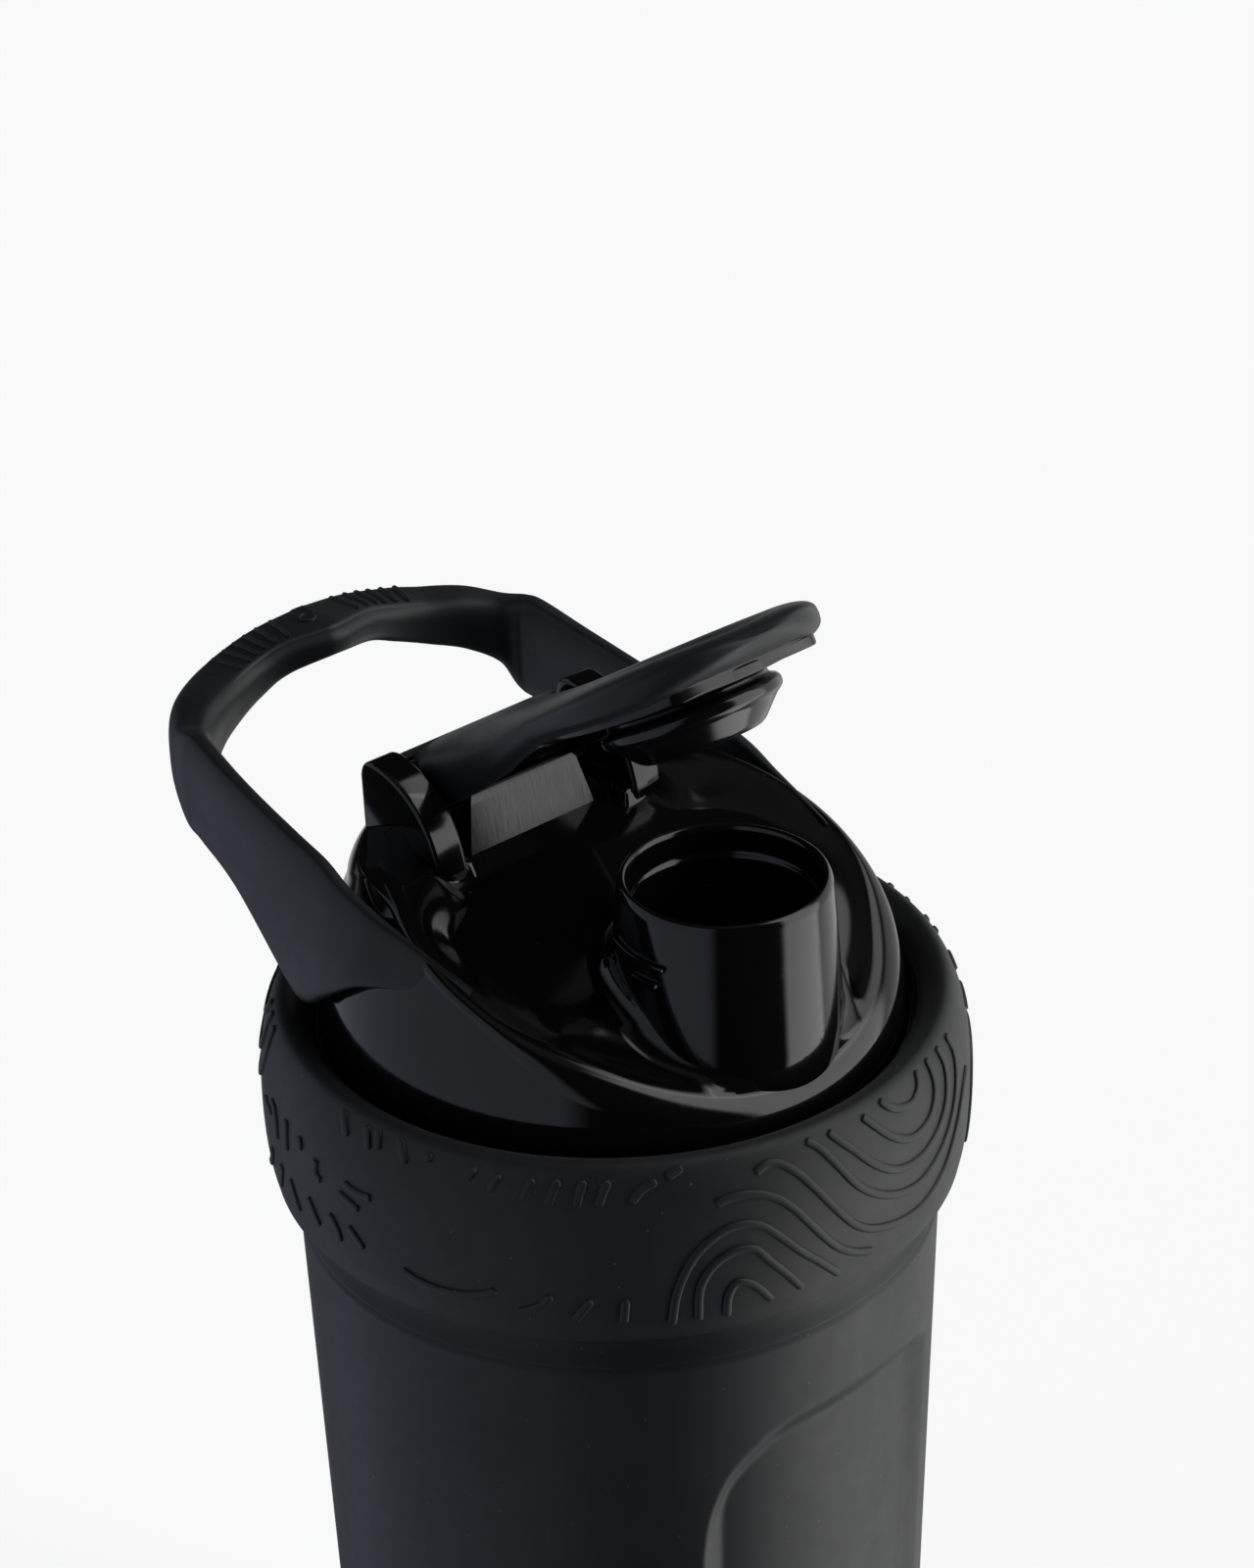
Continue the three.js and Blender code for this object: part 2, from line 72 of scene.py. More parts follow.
def through(points, x):
    """The height at x of a smooth curve through (x, height) points."""
    px, py = np.array(points, float).T
    slope = np.gradient(py, px)
    slope[1:-1] = (py[2:] - py[:-2]) / (px[2:] - px[:-2])
    x = np.clip(x, px[0], px[-1])
    i = np.clip(np.searchsorted(px, x, side="right") - 1, 0, len(px) - 2)
    w = px[i + 1] - px[i]
    t = (x - px[i]) / w
    u = 1 - t
    rise = (1 + 2 * t) * u * u * py[i] + t * t * (3 - 2 * t) * py[i + 1]
    return rise + w * t * u * (u * slope[i] - t * slope[i + 1])


def rounded(outline, radius=0.5, steps=5):
    """A closed outline of (r, z) corners, each eased by a small arc."""
    corners = np.array(outline, float)
    eased = []
    for before, corner, after in zip(np.roll(corners, 1, 0), corners, np.roll(corners, -1, 0)):
        a, b = before - corner, after - corner
        la, lb = np.hypot(*a), np.hypot(*b)
        cut = min(radius, 0.45 * la, 0.45 * lb)
        start, end = corner + a / la * cut, corner + b / lb * cut
        for t in np.linspace(0, 1, steps):
            eased.append((1 - t) ** 2 * start + 2 * t * (1 - t) * corner + t * t * end)
    return np.array(eased)


def loft(loops, ring=False):
    """A skin over closed loops of points; its ends are filled, or meet where it is a ring."""
    loops = np.asarray(loops, float)
    if not ring:
        middles = [np.broadcast_to(loops[k].mean(0), loops[k].shape) for k in (0, -1)]
        loops = np.concatenate([middles[:1], loops, middles[1:]])
    rows, sides = loops.shape[:2]
    i, j = np.meshgrid(np.arange(rows if ring else rows - 1), np.arange(sides), indexing="ij")
    i2, j2 = (i + 1) % rows, (j + 1) % sides
    quads = np.stack([i * sides + j, i * sides + j2, i2 * sides + j2, i2 * sides + j], -1)
    return loops.reshape(-1, 3), quads.reshape(-1, 4)


def turned(outline, sides=ROUND, middle=(0, 0)):
    """A closed (r, z) outline turned about an upright axis. It may be one for each azimuth."""
    az = np.arange(sides) / sides * 2 * np.pi
    outline = np.asarray(outline, float)
    if outline.ndim == 2:
        outline = np.broadcast_to(outline, (sides, *outline.shape))
    r, z = outline[..., 0], outline[..., 1]
    x = middle[0] + r * np.sin(az)[:, None]
    y = middle[1] - r * np.cos(az)[:, None]
    return loft(np.stack([x, y, z], -1), ring=True)


def piece(name, parts, body, finish, stands_for=(), sharp=42):
    """One object from skins in millimetres, closed up, facing out and riding on its body."""
    points, quads, count = [], [], 0
    for p, q in parts:
        a, b, c, d = (p[q[:, k]] for k in range(4))
        volume = np.einsum("ij,ij->i", a, np.cross(b, c) + np.cross(c, d)).sum()
        quads.append((q if volume > 0 else q[:, ::-1]) + count)
        points.append(p)
        count += len(p)
    points, quads = np.concatenate(points) * MM, np.concatenate(quads)
    mesh = bpy.data.meshes.new(name)
    mesh.vertices.add(len(points))
    mesh.vertices.foreach_set("co", points.ravel())
    mesh.loops.add(quads.size)
    mesh.loops.foreach_set("vertex_index", quads.ravel().astype(np.int32))
    mesh.polygons.add(len(quads))
    mesh.polygons.foreach_set("loop_start", np.arange(0, quads.size, 4, dtype=np.int32))
    mesh.update(calc_edges=True)
    made = bmesh.new()
    made.from_mesh(mesh)
    bmesh.ops.remove_doubles(made, verts=made.verts, dist=2e-6)
    made.to_mesh(mesh)
    made.free()
    mesh.shade_smooth()
    mesh.set_sharp_from_angle(angle=math.radians(sharp))
    mesh.materials.append(finish)
    obj = bpy.data.objects.new(name, mesh)
    bpy.context.scene.collection.objects.link(obj)
    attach(obj, body)
    if stands_for:
        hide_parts(*stands_for)
    return obj


class Wire:
    """A socket that can be added, scaled and compared as a number."""

    def __init__(self, nodes, socket):
        self.nodes = nodes
        self.socket = socket

    def maths(self, operation, *values):
        return self.nodes.node("ShaderNodeMath", {"operation": operation}, dict(enumerate(values)))

    def __add__(self, other):
        return self.maths("ADD", self, other)

    def __sub__(self, other):
        return self.maths("SUBTRACT", self, other)

    def __rsub__(self, other):
        return self.maths("SUBTRACT", other, self)

    def __mul__(self, other):
        return self.maths("MULTIPLY", self, other)

    __radd__ = __add__
    __rmul__ = __mul__

    def step(self, low, high):
        """0 below low, 1 above high, eased between; low may be the larger one."""
        return self.nodes.node(
            "ShaderNodeMapRange", {"interpolation_type": "SMOOTHSTEP"},
            {"Value": self, "From Min": low, "From Max": high},
        )


class Nodes:
    """The nodes of one finish or of the sky."""

    def __init__(self, owner):
        owner.use_nodes = True
        self.tree = owner.node_tree

    def feed(self, socket, value):
        if isinstance(value, Wire):
            self.tree.links.new(value.socket, socket)
        else:
            socket.default_value = value

    def node(self, kind, settings=None, values=None, out=0):
        made = self.tree.nodes.new(kind)
        for key, value in (settings or {}).items():
            setattr(made, key, value)
        for key, value in (values or {}).items():
            self.feed(made.inputs[key], value)
        return Wire(self, made.outputs[out])

    def blend(self, first, second, share):
        settings = {"data_type": "RGBA"}
        return self.node("ShaderNodeMix", settings, {0: share, 6: first, 7: second}, out=2)

    def place(self, stretch):
        """Where a point is on the piece, in millimetres, scaled along each axis."""
        where = self.node("ShaderNodeTexCoord", out="Object")
        scale = [k / MM for k in stretch]
        return self.node("ShaderNodeVectorMath", {"operation": "MULTIPLY"}, {0: where, 1: scale})

    def noise(self, per_mm, detail=2.0, stretch=(1, 1, 1)):
        values = {"Vector": self.place(stretch), "Scale": per_mm, "Detail": detail}
        return self.node("ShaderNodeTexNoise", {}, values)

    def specks(self, per_mm, size, share):
        """Scattered dots: size is in parts of the spacing, share is how many places have one."""
        values = {"Vector": self.place((1, 1, 1)), "Scale": per_mm}
        near = self.node("ShaderNodeTexVoronoi", {}, values)
        pick = self.node("ShaderNodeTexVoronoi", {}, values, out="Color")
        red = self.node("ShaderNodeSeparateColor", {}, {0: pick})
        return near.step(size, size * 0.5) * red.step(1 - share, 1 - share * 0.7)


class Finish(Nodes):
    """A material with a Principled shader and what feeds it."""

    def __init__(self, name, fixed):
        self.material = bpy.data.materials.new(name)
        super().__init__(self.material)
        self.shader = self.tree.nodes["Principled BSDF"]
        for key, value in fixed.items():
            self.shader.inputs[key].default_value = value

    def varies(self, key, value):
        self.feed(self.shader.inputs[key], value)

    def bump(self, height, depth_mm):
        values = {"Height": height, "Distance": depth_mm * MM, "Strength": 1.0}
        self.varies("Normal", self.node("ShaderNodeBump", {}, values))


def soft_touch(name, dark, light, roughness, dust, grain_mm=0.006):
    """A matte coat: cloudy handling marks, a fine grain, and lint and dust specks."""
    fixed = {"Specular IOR Level": 0.42, "Sheen Weight": 0.05, "Sheen Roughness": 0.5}
    f = Finish(name, fixed)
    cloud = f.noise(0.045, 3.0)
    rub = f.noise(0.35, 3.0)
    grain = f.noise(5.0, 1.0)
    fine = f.specks(0.55, 0.11, 0.30)
    coarse = f.specks(0.16, 0.05, 0.25)
    lint = (fine * 0.5 + coarse) * dust
    tone = f.blend((*dark, 1), (*light, 1), cloud.step(0.3, 0.75))
    f.varies("Base Color", f.blend(tone, (0.16, 0.165, 0.175, 1), lint))
    f.varies("Roughness", roughness + (cloud - 0.5) * 0.16 + (rub - 0.5) * 0.12 + lint * 0.2)
    f.bump(grain + rub * 0.6 + lint * 2.0, grain_mm)
    return f.material


def body_outline():
    z = np.linspace(*BODY_Z, 240)
    r = mix(*BODY_R, (z - BODY_Z[0]) / (BODY_Z[1] - BODY_Z[0]))
    pad = 33.3
    foot = rounded([(0, 2.3), (pad, 2.3), (pad, 0.9), (38.6, 0.9), (40.4, 2.6), (41.2, 6.2)], 0.6)[5:]
    neck = rounded([
        (45.4, 136.9), (44.45, 139), (44.2, 140.6), (44.2, 144.7), (42.6, 146), (42.6, 158),
        (40.6, 158), (40.6, 145), (42.3, 142.5), (42.3, 139.4),
    ], 0.7)
    floor = rounded([(39.4, 8.6), (37.3, 4.8), (34.3, 4.2), (0, 4.2)], 1.5)[:-5]
    outside = np.stack([r, z], -1)
    inside = np.stack([r - WALL, z], -1)[::-3]
    start, end = [(0, 2.3)], [(0, 4.2)]
    return np.concatenate([start, foot, outside, neck, inside, floor, end])


def dish(az, z):
    """How deep the grip recess is; its edge is a soft step that is rounded at the corners."""
    deg = np.degrees((az + np.pi) % (2 * np.pi) - np.pi)
    arc = 0.78
    edges = [
        (deg - DISH_SIDES[0]) * arc, (DISH_SIDES[1] - deg) * arc,
        through(DISH_TOP, deg) - z, z - DISH_LOW_Z,
    ]
    blunt = 1.2
    inward = -blunt * np.log(sum(np.exp(np.clip(-e / blunt, -60, 60)) for e in edges))
    return DISH_DEPTH * smooth(inward, -0.6, 3.6)


def helix(root, crest, start, steps=220):
    """A thread: a low ridge that climbs its pitch each turn and fades at both ends."""
    u = np.linspace(0, 1, steps)
    az = u * THREAD["turns"] * 2 * np.pi
    rise = np.clip(np.minimum(9 * u, 9 * (1 - u)), 0.04, 1)
    out = root + (crest - root) * rise
    sunk = np.full(steps, root - 0.4 * np.sign(crest - root))
    middle = start + az / (2 * np.pi) * THREAD["pitch"]
    corners = [(sunk, -1.1), (mix(sunk, out, 0.8), -0.75), (out, -0.45), (out, 0.45),
               (mix(sunk, out, 0.8), 0.75), (sunk, 1.1)]
    loops = [np.stack([r * np.sin(az), -r * np.cos(az), middle + dz], -1) for r, dz in corners]
    return loft(np.stack(loops, 1))


def bottle():
    outline = body_outline()
    az = np.arange(ROUND)[:, None] / ROUND * 2 * np.pi
    r, z = outline[None, :, 0], outline[None, :, 1]
    wall = (z > 12) & (z < 134) & (r > 30)
    r = r - np.where(wall, dish(az, z), 0)
    rings = np.stack([r, np.broadcast_to(z, r.shape)], -1)
    return [turned(rings), helix(NECK_R, THREAD["crest"], THREAD["start"])]


body_coat = soft_touch("soft_touch_body", (0.0058, 0.0070, 0.0088), (0.0075, 0.0088, 0.0108), 0.50, 0.55)
piece("cup_wall", bottle(), "bottle", body_coat, ["bottle_body"])

# ---------- Base pad ----------
# A thin silicone disc glued into the foot, so that the bottle doesn't slide or ring on a table.
# It is the plain CAD disc with a matte, slightly dusty silicone finish.

pad_coat = soft_touch("silicone_pad", (0.012, 0.0125, 0.0135), (0.02, 0.021, 0.022), 0.72, 0.5, 0.02)
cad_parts["base_pad"].material_slots[0].material = pad_coat
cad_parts["lid_gasket"].material_slots[0].material = pad_coat

# ---------- Collar grip ----------
# The soft ring that is gripped to turn the collar: thermoplastic rubber moulded over the hard
# core, as full and round as a tyre, with raised contour lines like those of a map: nested hills,
# long waves that dip round them, and rows of short slanted dashes.

GRIP = [
    (48.45, 144.4), (49.1, 147.6), (49.5, 152), (49.6, 157), (49.4, 161.6), (48.8, 165.4),
    (47.9, 168.4), (46.95, 170.1), (45.9, 170.65), (44.6, 170.4), (43.3, 169.5), (42.1, 168.1),
]
RIB_W = 1.25
RIB_H = 0.34
MM_PER_DEGREE = 0.86
LINE_STEP = 0.3
LINES_SPAN = (0.9, 28.4)

grip_run = np.concatenate([[0], np.cumsum(np.hypot(*np.diff(np.array(GRIP), axis=0).T))])


def grip_at(along):
    """Radius and height of the ring's outside, along mm up from its lower corner."""
    pairs = [list(zip(grip_run, column)) for column in np.array(GRIP).T]
    return through(pairs[0], along), through(pairs[1], along)


def on_grip(az, along):
    """Points on the ring's outside, and the directions straight out of it."""
    r, z = grip_at(along)
    r2, z2 = grip_at(along + 0.1)
    r1, z1 = grip_at(along - 0.1)
    run = np.hypot(r2 - r1, z2 - z1) + 1e-9
    nr, nz = (z2 - z1) / run, -(r2 - r1) / run
    s, c = np.sin(az), -np.cos(az)
    return np.stack([r * s, r * c, z], -1), np.stack([nr * s, nr * c, nz], -1)


def rib(points, normals, width, height, sunk=0.35):
    """A raised line on a surface, with a flat-topped section and rounded ends."""
    step = np.gradient(points, axis=0)
    run = np.concatenate([[0], np.cumsum(np.linalg.norm(np.diff(points, axis=0), axis=1))])
    side = np.cross(normals, step)
    side /= np.linalg.norm(side, axis=1)[:, None] + 1e-12
    near_end = np.clip(np.minimum(run, run[-1] - run) / (width / 2), 0, 1)
    wide = (width / 2) * np.sqrt(1 - (1 - near_end) ** 2) + 0.01
    tall = height * smooth(near_end, 0, 0.5)
    profile = [(-1, -sunk), (-1, 0.0), (-0.86, 0.72), (-0.62, 1.0), (0, 1.08), (0.62, 1.0),
               (0.86, 0.72), (1, 0.0), (1, -sunk)]
    loops = []
    for across, up in profile:
        lift = np.full(len(points), up) if up < 0 else up * tall
        loops.append(points + side * (across * wide)[:, None] + normals * lift[:, None])
    return loft(np.stack(loops, 1))


def contour(curve, turn=0.0):
    """A raised line on the ring from (azimuth, height along) points, turned round it."""
    curve = np.array(curve, float)
    gaps = np.hypot(np.diff(curve[:, 0]) * MM_PER_DEGREE, np.diff(curve[:, 1]))
    at = np.concatenate([[0], np.cumsum(gaps)])
    t = np.linspace(0, at[-1], max(int(at[-1] / LINE_STEP), 8))
    ends = 0.5 * RIB_W * (1 - np.cos(np.linspace(0, np.pi / 2, 4)))
    t = np.concatenate([ends, t[(t > ends[-1]) & (t < at[-1] - ends[-1])], at[-1] - ends[::-1]])
    az = through(list(zip(at, curve[:, 0])), t) + turn
    along = np.clip(through(list(zip(at, curve[:, 1])), t), *LINES_SPAN)
    return rib(*on_grip(np.radians(az), along), RIB_W, RIB_H)


HILL_AND_WAVES = [
    [(-33.2, 2.2), (-32.2, 8), (-29.6, 13), (-26, 15.8), (-22.4, 16.7), (-19, 15.9), (-15.6, 13.2),
     (-12, 9.8), (-8.6, 7), (-4.6, 3.4)],
    [(-29, 2.4), (-28.7, 8), (-26.8, 11), (-24.2, 12.6), (-22, 12.9), (-19.8, 12.3), (-17.4, 9.8),
     (-14.6, 7), (-11.6, 3.6)],
    [(-24.4, 2.2), (-24.3, 5.6), (-23.1, 7.6), (-21.4, 7.4), (-19.4, 6), (-17, 3.2)],
    [(-26, 20.4), (-23, 20.9), (-19.4, 20.6), (-16, 19.2), (-13.3, 17), (-10.8, 14.2), (-8.2, 11.2),
     (-5, 8), (-1.4, 5.8), (2.4, 4.4)],
    [(-19.2, 23.4), (-17, 24.2), (-14.8, 23.8), (-12, 21.8), (-9.6, 19.2), (-7.4, 16.6),
     (-5, 13.8), (-2, 10.7), (1, 8.7), (5, 7.2), (10, 6.1), (15, 5.8), (19, 6.5), (23, 8),
     (26.5, 10.4), (29.5, 13), (32.4, 15.6), (36, 17.6)],
    [(-9.6, 25.6), (-7.8, 24.4), (-6, 22.4), (-4, 19.9), (-2, 17.4), (0, 15.5), (2.4, 13.8),
     (5.4, 12.2), (9, 10.9), (14, 10.2), (18, 10.8), (22, 12.2), (25.4, 14.4), (28, 17),
     (29.8, 19.6), (30.8, 22.6), (30.2, 25.6)],
    [(-5.2, 25.6), (-3, 23.4), (-1, 21.6), (1.5, 19.2), (4.5, 16.9), (8, 15.1), (12, 14.2),
     (16, 14.3), (20, 15.5), (23, 17.4), (25, 19.9), (26, 22.8), (25.6, 25.9)],
    [(2, 25.4), (4.4, 23), (7, 20.7), (10, 18.9), (13, 18), (17, 18.3), (19.6, 19.8), (21.2, 22.2),
     (21.4, 26.1)],
    [(6.6, 26), (8.6, 24.2), (11.4, 23), (14, 22.7), (16.4, 23.8), (17.8, 26)],
]
UPPER_DASHES = [
    [(-34.8, 24.6), (-37.2, 23.6), (-39, 21.8)], [(-42.3, 25), (-43.2, 23.4), (-44, 21.4)],
    [(-46.2, 25), (-46.8, 23.4), (-47.4, 21.2)], [(-50.3, 25), (-51.8, 21.2)],
    [(-54.2, 24.8), (-55.8, 21.6)], [(-59.6, 24.8), (-61.2, 22.2)], [(-63.6, 25), (-65.2, 23.2)],
    [(-72.4, 25.4), (-71.6, 24.2)], [(-78, 26), (-76, 22.8)], [(-82.6, 26), (-81.6, 23.2)],
    [(-85, 25.8), (-83.6, 22.6)], [(-91, 26), (-88.6, 22.8)], [(-30.6, 26), (-33.4, 24.9)],
]
LOWER_DASHES = [
    [(-51.6, 7.6), (-53, 5.9), (-57.2, 4)], [(-45.4, 7.2), (-46.6, 5.6), (-48.2, 3.6)],
    [(-40.2, 7.2), (-40.6, 3.2)], [(-60.2, 7.2), (-63, 6), (-68, 5.2), (-73, 5.4), (-77, 6.4)],
    [(-88, 9.4), (-84.6, 6.8)], [(-92.8, 9.4), (-91, 7.6), (-90.4, 5.6)], [(-99, 9.2), (-96, 5.6)],
    [(-105.4, 9), (-102.8, 4.6)], [(-108.8, 9.4), (-109.8, 7.2), (-111.4, 4.6)],
    [(-114, 9.4), (-115.4, 7), (-118.4, 4.6)], [(-88.6, 16), (-85.4, 15.6), (-82.2, 15.9)],
    [(-90, 14), (-88, 13.6), (-85, 13)], [(-95.8, 16.8), (-95.8, 14.2), (-94.2, 13.9)],
    [(-101, 18), (-100.5, 15.8)], [(-106, 18.2), (-105.8, 13.2)],
    [(-113.4, 17.6), (-111, 16.8), (-110.2, 12.8)], [(-117.6, 16), (-115.4, 15.4), (-113.2, 15.6)],
]


def collar_lines():
    """The contour lines: a hill and its waves four times round, with dashes between them."""
    lines = [contour(c) for c in HILL_AND_WAVES + UPPER_DASHES + LOWER_DASHES]
    lines += [contour(c, 74) for c in HILL_AND_WAVES]
    lines += [contour(c, 148) for c in HILL_AND_WAVES]
    lines += [contour(c, 205) for c in HILL_AND_WAVES[:4]]
    lines += [contour(c, 214) for c in HILL_AND_WAVES[6:]]
    return lines


def collar_ring():
    along = np.linspace(0, grip_run[-1], 150)
    outside = np.stack(grip_at(along), -1)
    inner = rounded([(42, 167.9), (41.5, 166.6), (47.2, 166.5), (47.2, 144.1), (47.9, 143.85),
                     (48.4, 144.1)], 0.3)
    return turned(np.concatenate([outside, inner]))


collar_dark, collar_light = (0.0070, 0.0078, 0.0088), (0.0125, 0.0135, 0.0148)
collar_coat = soft_touch("collar_rubber", collar_dark, collar_light, 0.52, 0.9, 0.012)
collar_parts = [collar_ring(), *collar_lines()]
piece("collar_ring", collar_parts, "collar", collar_coat, ["collar_grip"])

# ---------- Collar core, mixing grid ----------
# The hard threaded ring inside the grip and the straining grid inside the lid are plain
# mouldings of black polypropylene, with the faint drag lines of the tool. They stay as the CAD
# solids, and only their finish is set here.

moulded = Finish("moulded_black", {"Specular IOR Level": 0.5})
drag = moulded.noise(0.5, 2.0, (1, 1, 9))
moulded.varies("Base Color", moulded.blend((0.006, 0.0064, 0.007, 1), (0.010, 0.0105, 0.0115, 1), drag))
moulded.varies("Roughness", 0.30 + drag * 0.22)
moulded.bump(drag, 0.01)
for name in ("collar_core", "mixing_grid"):
    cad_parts[name].material_slots[0].material = moulded.material

# ---------- Lid ----------
# The lid is one polished polypropylene moulding: a wall that leans in as it rises from the
# collar, a crest that climbs to the back, and a dished deck inside it. The deck turns up in
# a fillet round the spout, and is raised at both sides of the hinge channel.

LID_R = 40.6
LID_WALL = 2.0
CREST = [(-41, 1.9), (-30, 9.6), (-20.4, 14.1), (-7, 18.8), (8, 22.8), (17, 24.2), (26, 24), (36, 22.8)]
DECK = [(-41, 1.4), (-36, 4.4), (-23, 12.2), (-11.5, 16), (2, 18.4), (16, 20.1), (28, 21.6), (36, 22)]
SPOUT_Y = -23.3
FILLET = 3.4
CHANNEL_X = 14.6
CHANNEL_Z = 189.6


def gloss(name, roughness, scratch, tone=0.0035):
    """Polished black plastic with a faint haze, smudges, hairlines and a few specks of dust."""
    f = Finish(name, {"Specular IOR Level": 0.5, "IOR": 1.49})
    haze = f.noise(0.06, 3.0)
    hair_a = f.noise(1.2, 2.0, (0.12, 2.6, 1.0))
    hair_b = f.noise(1.2, 2.0, (2.4, 0.15, 0.8))
    hairs = hair_a.step(0.64, 0.72) + hair_b.step(0.65, 0.73)
    dots = f.specks(0.3, 0.07, 0.16)
    f.varies("Base Color", f.blend((tone, tone, tone * 1.12, 1), (0.12, 0.12, 0.125, 1), dots * 0.5))
    f.varies("Roughness", roughness + haze.step(0.35, 0.8) * 0.07 + hairs * scratch + dots * 0.3)
    f.bump(haze * 0.5 + hairs * 0.04 + dots * 0.2, 0.012)
    return f.material


def crown(az):
    """Rows of (r, z) from the collar up the wall, over the crest and down to the axis."""
    cos = np.cos(az)[:, None]
    back = smooth(-cos, 0.25, 0.8)
    lean = mix(0.0172, 0.012, back)
    shoulder = mix(mix(1.4, 4.8, smooth(cos, 0.3, 0.75)), 5.5, back)
    inward = mix(7, 12, smooth(-cos, 0, 0.5))
    high = through(CREST, -37 * cos)
    foot = np.maximum(high - shoulder, 0.2)
    top = LID_R - lean * foot ** 2 - shoulder
    h = foot * np.linspace(0, 1, 44)[None, :-1]
    rows = [(LID_R - lean * h ** 2, EDGE_Z + h)]
    a = np.radians(np.linspace(0, 90, 26))[None, :]
    rows.append((top + shoulder * np.cos(a), EDGE_Z + foot + (high - foot) * np.sin(a)))
    t = np.linspace(0, 1, 46)[None, 1:]
    r = top - inward * t
    rows.append((r, mix(EDGE_Z + high, EDGE_Z + through(DECK, -r * cos), smooth(t, 0, 1))))
    r = (top - inward) * np.linspace(1, 0, 120)[None, 1:]
    rows.append((r, EDGE_Z + through(DECK, -r * cos)))
    return [np.concatenate([np.broadcast_to(row[k], (len(az), row[k].shape[1])) for row in rows], 1)
            for k in (0, 1)]


def deck_forms(x, y, z, r):
    """The raised sides by the ears, the hinge channel, and the fillet round the spout."""
    side = np.abs(x)
    crest = EDGE_Z + through(CREST, y)
    start = mix(smooth(y, 12.4, 14), smooth(y, 4, 18), smooth(side, 18, 22))
    raised = smooth(side, CHANNEL_X, CHANNEL_X + 0.9) * start * (1 - smooth(y, 31, 36))
    inside = smooth(36.5 - r, 0, 3)
    z = mix(z, np.maximum(z, crest), raised * inside)
    cut = (1 - smooth(side, CHANNEL_X - 0.9, CHANNEL_X)) * smooth(y, 11.4, 12.4)
    z = mix(z, np.minimum(z, CHANNEL_Z), cut)
    off = np.hypot(x, y - SPOUT_Y) - 15.3
    inset = np.clip(FILLET - off, 0, FILLET * 0.985)
    near = (r < 38) & (off < FILLET)
    return z + np.where(near, FILLET - np.sqrt(FILLET ** 2 - inset ** 2), 0)


def lid_skin():
    az = np.arange(ROUND) / ROUND * 2 * np.pi
    r, z = crown(az)
    x, y = r * np.sin(az)[:, None], -r * np.cos(az)[:, None]
    z = deck_forms(x, y, z, r)
    ri = np.clip(r - LID_WALL * np.minimum(1, r / 20), 0, 38.2)[:, ::-3]
    ri[:, 0] = 0
    zi = np.maximum(z - LID_WALL, 162)[:, ::-3]
    skirt = rounded([(38.2, 162), (38.2, 151.6), (39.5, 151.6), (39.9, 160), (44.3, 160), (44.3, 163),
                     (LID_R, 163)], 0.35)[5:]
    skirt = np.broadcast_to(skirt, (ROUND, *skirt.shape))
    rings = np.concatenate([np.stack([r, z], -1), np.stack([ri, zi], -1), skirt], 1)
    points, quads = turned(rings)
    middle = points[quads].mean(1)
    hole = (np.hypot(middle[:, 0], middle[:, 1] - SPOUT_Y) < 13.9) & (middle[:, 2] > 164)
    return points, quads[~hole]


lid_gloss = gloss("gloss_black", 0.075, 0.07)
piece("lid_crown", [lid_skin()], "lid", lid_gloss, ["lid_shell"], sharp=38)

# ---------- Spout ----------
# The drinking spout stands on the front of the deck, moulded in one with the lid. Its rim is
# rounded for the lips, a small ledge inside it stops the cap's seal, and two short snap ridges
# at each side hold the closed cap.

SPOUT_TOP = 197.1


def spout_tube():
    outline = [
        (12.4, 168.6), (15.9, 168.6), (15.8, 176), (15.35, 184), (14.9, 191), (14.42, 196.2),
        (14.05, 196.9), (13.7, SPOUT_TOP), (13.35, 196.95), (13.02, 196.4), (13, 193.1), (12.4, 192.4),
    ]
    return turned(rounded(outline, 0.7), 256, (0, SPOUT_Y))


def snap_ridge(az_from, az_to, z):
    az = np.radians(np.linspace(az_from, az_to, 40))
    z = np.full(40, float(z))
    r = through([(176, 15.8), (184, 15.35), (191, 14.9), (196, 14.45)], z)
    out = np.stack([np.sin(az), -np.cos(az), 0 * az], -1)
    return rib(out * r[:, None] + np.stack([0 * az, 0 * az + SPOUT_Y, z], -1), out, 1.0, 0.6)


ridges = [snap_ridge(s * a, s * b, z) for s in (-1, 1) for a, b, z in ((74, 118, 189.9), (78, 96, 187.2))]
piece("spout", [spout_tube(), *ridges], "lid", lid_gloss)

# ---------- Hinge ears and stop plate ----------
# Two rounded fins rise from the deck and hold the cap's stub pins in blind sockets. Between them,
# just in front of the barrel, stands a thin leaning plate that the cap's neck comes to rest on,
# rubbed dull by it in fine upright lines.

EAR_X = (15.2, 20.4)
HINGE = Vector((0, 25.0, 196.0))


def slab(outline, low, high, ease=0.7, steps=6):
    """A plate: a closed outline in Y and Z, from x low to x high, with eased edges."""
    outline = np.array(outline, float)
    middle = outline.mean(0)
    run = np.roll(outline, -1, 0) - np.roll(outline, 1, 0)
    normal = np.stack([run[:, 1], -run[:, 0]], -1)
    normal /= np.linalg.norm(normal, axis=1)[:, None] + 1e-9
    if np.einsum("ij,ij->i", normal, outline - middle).mean() < 0:
        normal = -normal
    loops = []
    for a in np.linspace(0, np.pi / 2, steps):
        flat = outline - normal * ease * (1 - np.sin(a))
        loops.append((low + ease * (1 - np.cos(a)), flat))
    loops += [(low + high - x, flat) for x, flat in reversed(loops)]
    return loft([np.column_stack([np.full(len(f), x), f]) for x, f in loops])


